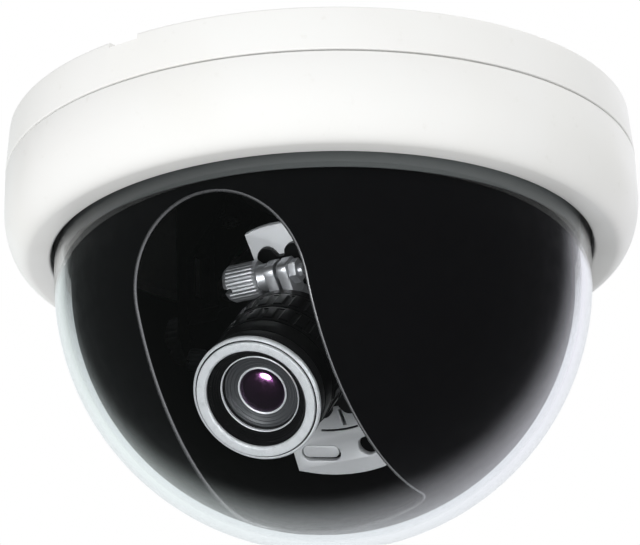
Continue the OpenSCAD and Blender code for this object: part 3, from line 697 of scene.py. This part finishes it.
def make_cover():
    r, bottom, top = high("cover_shell").x, low("cover_shell").z, high("cover_shell").z
    seat = low("dome_gasket").z
    corner_z = bottom + CORNER[1]
    outer = ellipse(r - CORNER[0], corner_z, *CORNER, 0, -90, 24)
    inner = ellipse(r - WALL - CORNER[0] + 0.8, corner_z, CORNER[0] - 0.8, corner_z - seat, -90, 0, 14)
    outline = [(r - WALL, top), (SEAM_R - 0.45, top), (SEAM_R - 0.15, top - 0.08), (SEAM_R, top - 0.35)]
    outline += outer
    outline += fillet([(LIP_R + 3, bottom), (LIP_R, bottom, 0.7), (LIP_R, seat, 0.1), (LIP_R + 3, seat)])[1:-1]
    outline += inner
    boss = fillet([(0.9, seat - 0.05), (2.1, seat - 0.05), (2.1, seat + 2.4, 0.2), (0.9, seat + 2.4, 0.15)])
    bosses = []
    for angle in (45, 135, 225, 315):
        post = lathe(boss, 32)
        bosses.append(moved(post, Matrix.Rotation(radians(angle), 4, "Z") @ at(56.9, 0, 0)))
    piece("cover", joined(lathe(outline, 256), *bosses), "cover_shell", "white_shell")


def make_dome():
    r, bottom, top = high("dome_bubble").x, low("dome_bubble").z, high("dome_bubble").z
    centre, inner, flange = bottom + BUBBLE_R, BUBBLE_R - BUBBLE_WALL, top - 2.0
    outside = arc((0, centre), BUBBLE_R, -90, 0, 72)
    inside = arc((0, centre), inner, 0, -90, 72)
    rim = fillet([(BUBBLE_R, centre), (BUBBLE_R, flange, 0.3), (r, flange, 0.2), (r, top, 0.2), (inner, top, 0.2),
                  (inner, centre)])
    outline = outside + rim[1:-1] + inside
    outline[0] = (0, outline[0][1])
    outline[-1] = (0, outline[-1][1])
    piece("clear_bubble", lathe(outline, 256), "dome_bubble", "clear_dome", sharp=40)
    start, end = centre + SKIRT_SHADE, top - 0.4
    band = [(inner - 0.3, start), (inner - 0.06, start), (inner - 0.06, end), (inner - 0.3, end)]
    piece("bubble_skirt_band", lathe(band, 256), "dome_bubble", "clear_dome", material="skirt_grey", stands_for=False)


def make_base():
    outline = fillet([
        (9, 0, 0.3), (60, 0, 0.6), (SEAM_R, -9.2, 0.25), (58.4, -9.2, 0.2), (58.4, -14, 0.3), (56.6, -14, 0.2),
        (56.6, -2.6, 0.4), (23.5, -2.6, 0.3), (23.5, -9.3, 0.2), (20.5, -9.3, 0.2), (20.5, -2.6, 0.3), (16, -2.6, 0.3),
        (16, -9.4, 0.2), (12, -9.4, 0.2), (12, -12.2, 0.3), (9, -12.2, 0.3),
    ], 4)
    cuts = [fill_prism(obround(s * FIXING_X, 0, 4.5, 9), -5, 1) for s in (-1, 1)]
    channel = block((8, 63), (-3.5, 3.5), (-1.2, 1))
    cuts.append(moved(channel, Matrix.Rotation(radians(CHANNEL_AT), 4, "Z")))
    parts = [carve(lathe(outline, 256), *cuts)]
    for x, y in POSTS:
        post = lathe(fillet([(1, -2.4), (2.6, -2.4), (2.6, -6.15, 0.2), (1, -6.15, 0.15)]), 32)
        parts.append(moved(post, at(x, y, 0)))
    for angle in range(30, 360, 60):
        rib = block((23.4, 56.7), (-0.8, 0.8), (-6, -2.5))
        parts.append(moved(rib, Matrix.Rotation(radians(angle), 4, "Z")))
    piece("base_moulding", joined(*parts), "mounting_base", "white_shell")


def make_board_parts():
    """Small parts on the lower face of the power board."""
    chips = [block((x - w / 2, x + w / 2), (y - d / 2, y + d / 2), (-7.8 - h, -7.75)) for x, y, w, d, h in (
        (-1, 33, 4.4, 3.4, 1.1), (-14, 33.5, 1.6, 0.8, 0.5), (-14, 31.8, 1.6, 0.8, 0.5), (3.5, 31.2, 1.6, 0.8, 0.5),
        (-16.5, 40, 0.8, 1.6, 0.5), (-18, 40, 0.8, 1.6, 0.5), (17.5, 38, 3, 2.4, 1), (17.5, 42.5, 0.8, 1.6, 0.5),
        (-1, 42.5, 2.8, 2.8, 1.4))]
    piece("board_chips", joined(*chips), "power_board", "board_green", material="capacitor_sleeve", stands_for=False)
    legs = [block((x - 0.15, x + 0.15), (y - 0.5, y + 0.5), (-8.1, -7.75))
            for x in (-2.6, -1.3, 0, 0.7) for y in (31, 35)]
    piece("board_chip_legs", joined(*legs), "power_board", "board_green", material="screw_steel", stands_for=False)


# ---- liner -------------------------------------------------------------------------------------

SLOT_W = 35.8               # width of the viewing slot
SLOT_PAST = 7               # how far it runs past the pole
SLOT_CORNER = 4             # radius of its corners there
SLOT_RISE = 1.9             # how far its round end is raised
LINER_R = 48.7
LINER_WALL = 1.1


def slot_path(radius, centre):
    """The slot's edge on a sphere of this radius, as points in the pan frame."""
    half, r = SLOT_W / 2, radius
    turn_z = centre - half + SLOT_RISE
    top = [(half * cos(a), turn_z + half * sin(a)) for a in (pi * k / 48 for k in range(49))]
    edge = [(x, -sqrt(r * r - x * x - min(z - centre, 0) ** 2), z) for x, z in top]
    flank = sqrt(r * r - half * half)
    first, last = asin((half - SLOT_RISE) / flank), pi / 2 + asin((SLOT_PAST - SLOT_CORNER) / flank)
    angles = [first + (last - first) * k / 72 for k in range(1, 73)]
    side = [(-half, -flank * cos(a), centre - flank * sin(a)) for a in angles]
    turn = arc((-half + SLOT_CORNER, SLOT_PAST - SLOT_CORNER), SLOT_CORNER, 180, 90, 10)[1:]
    across = [(-half + SLOT_CORNER + (2 * half - 2 * SLOT_CORNER) * k / 20, SLOT_PAST) for k in range(1, 20)]
    plan = turn + across + [(-x, y) for x, y in reversed(turn)]
    under = [(x, y, centre - sqrt(r * r - x * x - y * y)) for x, y in plan]
    return edge + side + under + [(-x, y, z) for x, y, z in reversed(side)]


def make_liner():
    flange_r, _, top = reach("inner_liner", PAN)
    centre = low("dome_bubble").z + BUBBLE_R
    r = LINER_R
    outside = arc((0, centre), r, -90, 0, 64)
    inside = arc((0, centre), r - LINER_WALL, 0, -90, 64)
    rim = fillet([(r, centre), (r, top - 1.2, 0.3), (flange_r, top - 1.2, 0.3), (flange_r, top, 0.3),
                  (r - LINER_WALL, top, 0.3), (r - LINER_WALL, centre)])
    outline = [(0, centre - r)] + outside[1:] + rim[1:-1] + inside[:-1] + [(0, centre - r + LINER_WALL)]
    half = SLOT_W / 2
    plan = [(-half, -80), (half, -80), (half, SLOT_PAST, SLOT_CORNER), (-half, SLOT_PAST, SLOT_CORNER)]
    below = fill_prism(fillet(plan, 10), -200, centre - half + SLOT_RISE)
    ahead = fill_prism(arc((0, centre - half + SLOT_RISE), half, 0, 360, 96)[:-1], 0, 80)
    ahead = moved(ahead, Matrix.Rotation(radians(90), 4, "X"))
    shell = carve(lathe(outline, 240), below, ahead)
    middle = Vector((0, 0, centre))
    bead = tube(slot_path(r - 0.2, centre), lambda p: Vector(p) - middle, 0.3, 10)
    piece("liner", shell, "inner_liner", "black_liner", PAN)
    piece("liner_slot_edge", bead, "inner_liner", "black_liner", PAN, material="liner_edge", stands_for=False)
    ribs = []
    for s in (-1, 1):
        rib = block((-0.6, 0.6), (45.4, r - LINER_WALL + 0.2), (-30, top))
        ribs.append(moved(rib, at(s * 2.4, 0, 0)))
    piece("liner_drive_ribs", joined(*ribs), "inner_liner", "black_liner", PAN, stands_for=False)


# ---- lens --------------------------------------------------------------------------------------

RING_BACK, LENS_TIP = reach("front_ring", LENS)[1:]     # along the lens axis, from the tilt axis
RING_R = 12.5                                           # grip rings
LOCK_AT = {"zoom": 205, "focus": 160}                   # where their lock screws stand, in degrees


def make_lens_front():
    tip, back = LENS_TIP, RING_BACK
    face = fillet([
        (9.9, tip - 1.5), (12.5, tip - 1.5), (12.6, tip - 1.45, 0.05), (12.6, tip - 0.8, 0.12),
        (12.3, tip - 0.45, 0.08), (12.06, tip - 0.45, 0.06), (12.04, tip - 1.1, 0.02), (11.74, tip - 1.1, 0.02),
        (11.74, tip - 0.12, 0.06), (11.6, tip, 0.08), (10.2, tip, 0.1), (9.9, tip - 0.25, 0.12),
    ], 5)
    piece("front_ring_face", lathe(face, 224), "front_ring", "lens_silver", LENS)
    inlay = lathe([(11.74, tip - 1.1), (12.04, tip - 1.1), (12.05, tip - 0.6), (11.74, tip - 0.6)], 224)
    piece("front_ring_groove", inlay, "front_ring", "lens_silver", LENS, material="lens_black", stands_for=False)
    skirt = fillet([
        (9.9, back + 0.1), (12.15, back + 0.1, 0.15), (12.15, back + 1.6, 0.1), (12.55, back + 2, 0.1),
        (12.55, tip - 1.55, 0.1), (9.9, tip - 1.55),
    ], 4)
    piece("front_ring_skirt", lathe(skirt, 224), "front_ring", "lens_silver", LENS, material="lens_black",
          stands_for=False)

    steps = []
    for k in range(4):
        z = tip - 1.15 - 0.38 * k
        edge = 9.3 - 0.36 * k
        steps += [(edge, z, 0.05), (edge - 0.12, z - 0.27, 0.05)]
    hood = [(6.6, 28), (7.55, 28), (7.55, 31.4), (12.2, 31.4, 0.25), (12.2, back - 0.05, 0.1), (9.85, back - 0.05),
            (9.85, tip - 0.65, 0.05), (9.6, tip - 0.7, 0.08), *steps, (7.85, tip - 2.6), (7.85, tip - 3.0),
            (7.34, tip - 3.05),
            (7.34, back - 0.6), (6.6, back - 1)]
    piece("lens_hood", lathe(fillet(hood, 4), 192), "lens_head", "lens_black", LENS)

    cell = fillet([
        (4.48, back - 0.55), (7.28, back - 0.55), (7.28, tip - 3.42), (6.9, tip - 3.42, 0.08), (6.75, tip - 3.62, 0.06),
        (6.3, tip - 3.72, 0.06), (6.2, tip - 3.9, 0.06), (5.6, tip - 4.0, 0.06), (5.5, tip - 4.16, 0.06),
        (4.95, tip - 4.26, 0.08), (4.8, tip - 4.05, 0.1), (4.5, tip - 4.0, 0.12),
    ], 4)
    piece("front_lens_cell", lathe(cell, 160), "front_cell", "lens_cell", LENS)

    retainer = fillet([
        (7.58, tip - 3.02), (7.82, tip - 3.02), (7.82, tip - 2.5, 0.05), (7.7, tip - 2.42, 0.05), (7.58, tip - 2.5, 0.05),
    ], 4)
    piece("lens_retaining_ring", lathe(retainer, 160), "lens_retainer", "lens_silver", LENS)
    rim = fillet([
        (4.5, tip - 4.2), (4.86, tip - 4.2), (4.86, tip - 3.98, 0.06), (4.7, tip - 3.88, 0.06), (4.5, tip - 3.98, 0.06),
    ], 4)
    piece("lens_cell_rim", lathe(rim, 160), "front_cell", "lens_cell", LENS, material="lens_silver",
          stands_for=False)

    crown = [(4.42 * sin(a), tip - 4.25 + 0.85 * cos(a)) for a in (pi / 2 * k / 14 for k in range(15))]
    glass = [(0, back + 0.1), (4.42, back + 0.35)] + crown[::-1]
    piece("front_lens_element", lathe(glass, 128), "front_glass", "lens_glass", LENS, material="coated_glass",
          sharp=50)


def grip(count, depth):
    """Draws the middle of each grip groove in by depth, with soft shoulders."""
    def groove(angle, r, z):
        phase = (angle * count / (2 * pi)) % 1
        width = 0.24
        share = max(0.0, 1 - (abs(phase - 0.5) / width) ** 4)
        return depth * share if r > RING_R - 0.2 else 0
    return groove


def make_grip_rings():
    inner, step = 10.85, RING_R - 0.25
    for use, angle in LOCK_AT.items():
        node, name = f"{use}_ring", f"{use}_grip_ring"
        z_low, z_high = reach(node, LENS)[1:]
        profile = [(inner, z_low), (step, z_low, 0.15), (step, z_low + 0.65, 0.05), (RING_R, z_low + 0.8, 0.1),
                   (RING_R, z_high - 0.8, 0.1), (step, z_high - 0.65, 0.05), (step, z_high, 0.15), (inner, z_high)]
        body = lathe(fillet(profile, 3), 480, grip(24, 0.4))
        boss = lathe(fillet([(1.05, 11.4), (2.2, 11.4), (2.2, 13.6, 0.3), (1.05, 13.6, 0.15)]), 40)
        outward = Matrix.Rotation(radians(angle), 4, "Z") @ Matrix.Rotation(radians(90), 4, "Y")
        boss = moved(boss, at(0, 0, (z_low + z_high) / 2) @ outward)
        piece(name, joined(body, boss), node, "lens_black", LENS)


# ---- gimbal ------------------------------------------------------------------------------------

STRAP = reach("cradle_bracket", LENS)[1:]       # along the lens axis
FLANGE = (8.62, 10.0)                           # along it too
FLANGE_SCREWS = (39, 139, 219, 319)             # degrees
SCREW_CIRCLE = 17


def flange_screw_holes():
    return [hole(SCREW_CIRCLE * cos(radians(a)), SCREW_CIRCLE * sin(radians(a)), 1.0) for a in FLANGE_SCREWS]


def make_bracket():
    """Bracket plate behind the lens, with an upper tab and a lower skirt."""
    disc, tab_r, tab_x, skirt_r, skirt_x = 16.4, 22.2, (-6, 5), 31.2, 13.2

    def deg(x, r):
        return degrees(asin(x / r))

    def ear(a):
        return arc((SCREW_CIRCLE * cos(radians(a)), SCREW_CIRCLE * sin(radians(a))), 1.7, a - 100, a + 100, 12)

    outline = (ear(39) + arc((0, 0), disc, 46, 90 - deg(tab_x[1], disc), 8)
               + arc((0, 0), tab_r, 90 - deg(tab_x[1], tab_r), 90 - deg(tab_x[0], tab_r), 12)
               + arc((0, 0), disc, 90 - deg(tab_x[0], disc), 132, 8) + ear(139)
               + arc((0, 0), disc, 146, 212, 24) + ear(219)
               + arc((0, 0), skirt_r, 270 - deg(skirt_x, skirt_r), 270 + deg(skirt_x, skirt_r), 24)
               + ear(319) + arc((0, 0), disc, 326, 392, 24))
    holes = [hole(0, 0, 9.2, 64), hole(-11.2, -21.4, 0.9), hole(11.2, -21.4, 0.9),
             obround(-7.3, -25.6, 3.3, 8, -12), hole(2.6, -26, 1.95),
             [(-0.8, -17.5), (-0.8, -20.9), (0, -20.9), (0, -17.5)]]
    holes += flange_screw_holes()
    body = plate(outline, holes, *STRAP, 0.18)
    groove = plate(arc((0, 0), 21.9, 255, 276, 16) + arc((0, 0), 21.4, 276, 255, 16), [],
                   STRAP[1] - 0.4, STRAP[1] + 1, 0.02)
    piece("cradle_strap", carve(body, groove), "cradle_bracket", "bracket_grey", LENS, sharp=28)
    tongue = plate(obround(-7.3, -25.3, 2.45, 7.4, -12), [], STRAP[0] + 0.05, STRAP[1] - 0.15, 0.12)
    piece("strap_slot_tongue", tongue, "cradle_bracket", "bracket_grey", LENS, stands_for=False, sharp=28)
    # A thin black strip in the bottom of the arc groove: painted shade that darkens the groove where its shadow falls,
    # not a black part of the bracket.
    groove_shade = plate(arc((0, 0), 21.88, 255.2, 275.8, 16) + arc((0, 0), 21.42, 275.8, 255.2, 16), [],
                 STRAP[1] - 0.42, STRAP[1] - 0.2, 0.02)
    piece("strap_groove_painted_shade", groove_shade, "cradle_bracket", "bracket_grey", LENS, material="black_plastic",
          stands_for=False)


def make_flange_ring():
    """Ring with a lobe every 20 degrees, the first at 19."""
    points = []
    count, body_r, lobe_r, lobe_at = 18, 16.2, 2.0, 16.5
    for k in range(count * 16):
        angle = 2 * pi * k / (count * 16)
        off = ((angle - radians(19)) * count / (2 * pi) + 0.5) % 1 - 0.5
        off *= 2 * pi / count
        across = lobe_at * sin(off)
        bulge = lobe_at * cos(off) + sqrt(max(lobe_r ** 2 - across ** 2, 0)) if abs(across) < lobe_r else 0
        r = max(body_r, bulge)
        points.append((r * cos(angle), r * sin(angle)))
    holes = [hole(0, 0, 9.0, 64)] + flange_screw_holes()
    piece("lobed_flange", plate(points, holes, *FLANGE, 0.15), "flange_ring", "black_plastic", LENS, sharp=28)


def cap_screw(r, height, shank_r, length):
    """Domed cross-recess machine screw, head on z = 0 and shank below it."""
    dome = [(r * cos(a), height * (0.35 + 0.65 * sin(a))) for a in (pi / 2 * k / 6 for k in range(7))]
    dome[-1] = (0, height)
    outline = [(0, -length), (shank_r * 0.7, -length), (shank_r, -length + 0.3), (shank_r, 0), (r * 0.98, 0)] + dome
    head = lathe(outline, 40)
    arms = [moved(block((-r * 0.55, r * 0.55), (-r * 0.13, r * 0.13), (height * 0.45, height * 2)), at(0, 0, 0, turn))
            for turn in (0, 90)]
    return carve(head, *arms)


def screws(name, node, slot, matrix, places, size):
    """One piece with a cap screw at each place matrix."""
    made = joined(*[moved(cap_screw(*size), place) for place in places])
    piece(name, made, node, slot, matrix, sharp=30)


def thumb_screw(r, height, shank_r, length, teeth):
    """Knurled thumbscrew with a coin slot, head rising from z = 0."""
    def knurl(angle, rr, z):
        wave = 0.5 + 0.5 * cos(angle * teeth)
        return 0.14 * wave ** 3 if rr > r * 0.94 else 0
    outline = fillet([
        (0, -length), (shank_r, -length, 0.2), (shank_r, 0), (r * 0.72, 0, 0.05), (r * 0.72, height * 0.2, 0.05),
        (r * 0.9, height * 0.2, 0.1), (r, height * 0.26, 0.1), (r, height * 0.9, 0.12), (r * 0.86, height, 0.12),
        (0, height),
    ], 3)
    body = lathe(outline, teeth * 12, knurl)
    return carve(body, block((-r * 1.1, r * 1.1), (-r * 0.13, r * 0.13), (height * 0.8, height * 2)))


def make_clamp():
    split, ear, screw_y, screw_z = (0.7, 1.4), 2.1, 13.9, 13.6
    foot = FLANGE[1]
    collar = lathe(fillet([(8.65, foot), (10.2, foot, 0.25), (10.2, 16.4, 0.35), (8.65, 16.4, 0.2)]), 160)
    collar = carve(collar, block(split, (0, 30), (5, 30)))
    ears = []
    for x in ((split[0] - ear, split[0]), (split[1], split[1] + ear)):
        shape = fillet([(8.3, 11), (16.5, 11, 1.6), (16.5, 16.4, 1.6), (8.3, 16.4)], 6)
        tab = plate(shape, [hole(screw_y, screw_z, 1.25)], x[0], x[1], 0.15)
        ears.append(moved(tab, Matrix(((0, 0, 1, 0), (1, 0, 0, 0), (0, 1, 0, 0), (0, 0, 0, 1)))))
    piece("roll_clamp_collar", joined(collar, *ears), "roll_clamp", "clamp_metal", LENS, sharp=30)
    nut = lathe(fillet([(1.25, 0), (2.4, 0, 0.1), (2.4, 1.5, 0.2), (1.25, 1.5, 0.1)], 3), 6)
    nut = moved(nut, toward((1, 0, 0), split[1] + ear, screw_y, screw_z))
    piece("clamp_hex_nut", nut, "clamp_nut", "clamp_metal", LENS, sharp=30)
    knob = moved(thumb_screw(3.6, 8.7, 1.2, 7.4, 26), toward((-1, 0, 0), split[0] - ear - 0.1, screw_y, screw_z))
    piece("roll_thumbscrew", knob, "roll_screw", "clamp_metal", LENS, sharp=30)


def make_gimbal_screws():
    lens_screws = [toward((0, 0, 1), SCREW_CIRCLE * cos(radians(a)), SCREW_CIRCLE * sin(radians(a)), FLANGE[1])
                   for a in FLANGE_SCREWS]
    screws("flange_cap_screws", "flange_screws", "dark_screws", LENS, lens_screws, (1.7, 0.9, 0.9, 6))
    for side, s in (("left", -1), ("right", 1)):
        knob = moved(thumb_screw(4.6, 4, 2, 9.8, 22), toward((s, 0, 0), s * 28.8, 0, 0))
        piece(f"tilt_thumbscrew_{side}", knob, f"tilt_screw_{side}", "clamp_metal", LENS, sharp=30)
    for use, angle in LOCK_AT.items():
        z_low, z_high = reach(f"{use}_ring", LENS)[1:]
        c, s = cos(radians(angle)), sin(radians(angle))
        place = toward((c, s, 0), 13.7 * c, 13.7 * s, (z_low + z_high) / 2)
        knob = moved(thumb_screw(2.3, 3.8, 1, 2.4, 12), place)
        piece(f"{use}_lever", knob, f"{use}_lock_screw", "dark_screws", LENS, sharp=30)


# ---- everything --------------------------------------------------------------------------------

def dress_cad_nodes():
    """CAD nodes that stay get their slot's material."""
    slots = {part["node"]: part["material_slot"] for part in frame["record"]["subparts"]}
    for name, node in frame["nodes"].items():
        if node.hide_render:
            continue
        node.data.materials.clear()
        node.data.materials.append(MATERIAL[slots[name]])


make_materials()
make_camera()
make_world()
make_floor()
bpy.context.scene.view_settings.view_transform = "Standard"
light_the_outside()
make_base()
make_board_parts()
make_cover()
make_dome()
make_liner()
make_lens_front()
make_grip_rings()
make_bracket()
make_flange_ring()
make_clamp()
make_gimbal_screws()
dress_cad_nodes()
light_the_inside()
